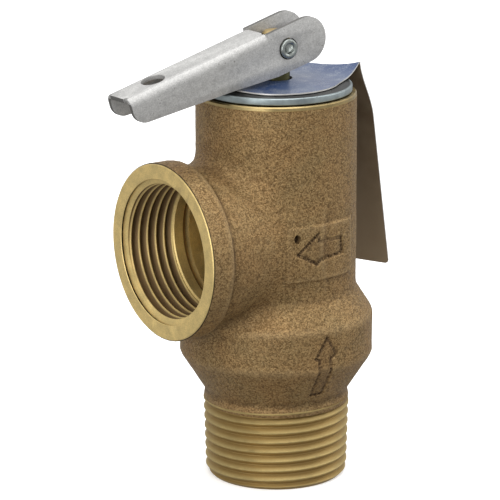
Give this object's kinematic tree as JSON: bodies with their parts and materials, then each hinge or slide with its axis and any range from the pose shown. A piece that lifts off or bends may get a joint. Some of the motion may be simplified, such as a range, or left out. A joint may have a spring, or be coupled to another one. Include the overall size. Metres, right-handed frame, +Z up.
{
  "type": "pressure relief valve",
  "caption": "Bronze pressure relief valve with a male pipe inlet below, a threaded side outlet, a spring chamber, a folded plate tag and a hinged test lever on top.",
  "frame": {"origin": "on the valve's axis, in the plane of the inlet's end face", "axes": "+Z up the valve's axis from inlet to lever, -X out of the side outlet and along the lever to its tip, +Y completes a right-handed frame; the lever's pin lies along Y"},
  "size_m": [0.0611, 0.0354, 0.0855],
  "materials": {
    "cast_bronze": "sand-cast, rough",
    "brass": "machined",
    "zinc_steel": "satin zinc plate",
    "bright_zinc": "bright zinc plate",
    "spring_steel": "plain",
    "rubber": "moulded",
    "printed_aluminium": "printed, glossy"
  },
  "bodies": {
    "valve_body": {"valve_body": "cast_bronze", "seat_ring": "brass", "guide_ring": "brass", "guide_o_ring": "rubber", "guide_clip": "spring_steel", "spring": "spring_steel", "upper_spring_seat": "zinc_steel", "adjusting_ring": "brass", "cap": "bright_zinc", "stem_bush": "brass"},
    "piston": {"disc_holder": "brass", "seat_disc": "rubber", "disc_washer": "spring_steel", "disc_screw": "spring_steel", "lower_spring_seat": "zinc_steel"},
    "stem": {"stem": "brass", "stem_nut": "brass"},
    "lever": {"lever": "zinc_steel", "lever_pin": "spring_steel"},
    "tag": {"tag": "printed_aluminium"}
  },
  "joints": [
    {"name": "stem_lift", "type": "slide", "parent": "valve_body", "child": "piston", "axis": [0, 0, 1], "range_m": [0, 0.0025], "deforming": ["spring"]},
    {"name": "lever_swivel", "type": "hinge", "parent": "piston", "child": "stem", "pos_m": [0, 0, 0], "axis": [0, 0, 1], "range_deg": [-45, 45]},
    {"name": "lever_hinge", "type": "hinge", "parent": "stem", "child": "lever", "pos_m": [0, 0, 0.08015], "axis": [0, 1, 0], "range_deg": [0, 90]},
    {"name": "tag_swivel", "type": "hinge", "parent": "valve_body", "child": "tag", "pos_m": [0, 0, 0], "axis": [0, 0, 1], "range_deg": [-70, 45]}
  ],
  "couplings": [
    {"joint": "lever_hinge", "follows": "stem_lift", "rad_per_m": 628}
  ]
}
